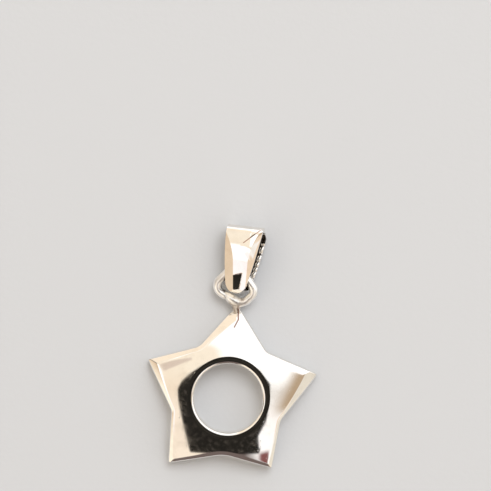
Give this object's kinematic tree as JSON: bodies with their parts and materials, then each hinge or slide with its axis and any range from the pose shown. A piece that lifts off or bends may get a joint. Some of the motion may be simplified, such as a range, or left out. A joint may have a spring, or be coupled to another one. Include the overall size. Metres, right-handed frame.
{
  "type": "star pendant",
  "caption": "Small polished silver star pendant with a round hole, a soldered wire loop at its top tip and a folded strap bail for a chain.",
  "frame": {"origin": "centre of the star's round hole, on the flat back face that the pendant rests on", "axes": "+Z out of the star's face along the hole's axis, +Y from the star's middle to its top tip, the loop and the bail, +X to the star's right arm as seen from the front"},
  "size_m": [0.0162, 0.0233, 0.0033],
  "materials": {
    "silver": "mirror polished, rhodium plated sterling silver with fine hairline scratches"
  },
  "bodies": {
    "root": {"star": "silver", "bail": "silver"}
  },
  "joints": []
}
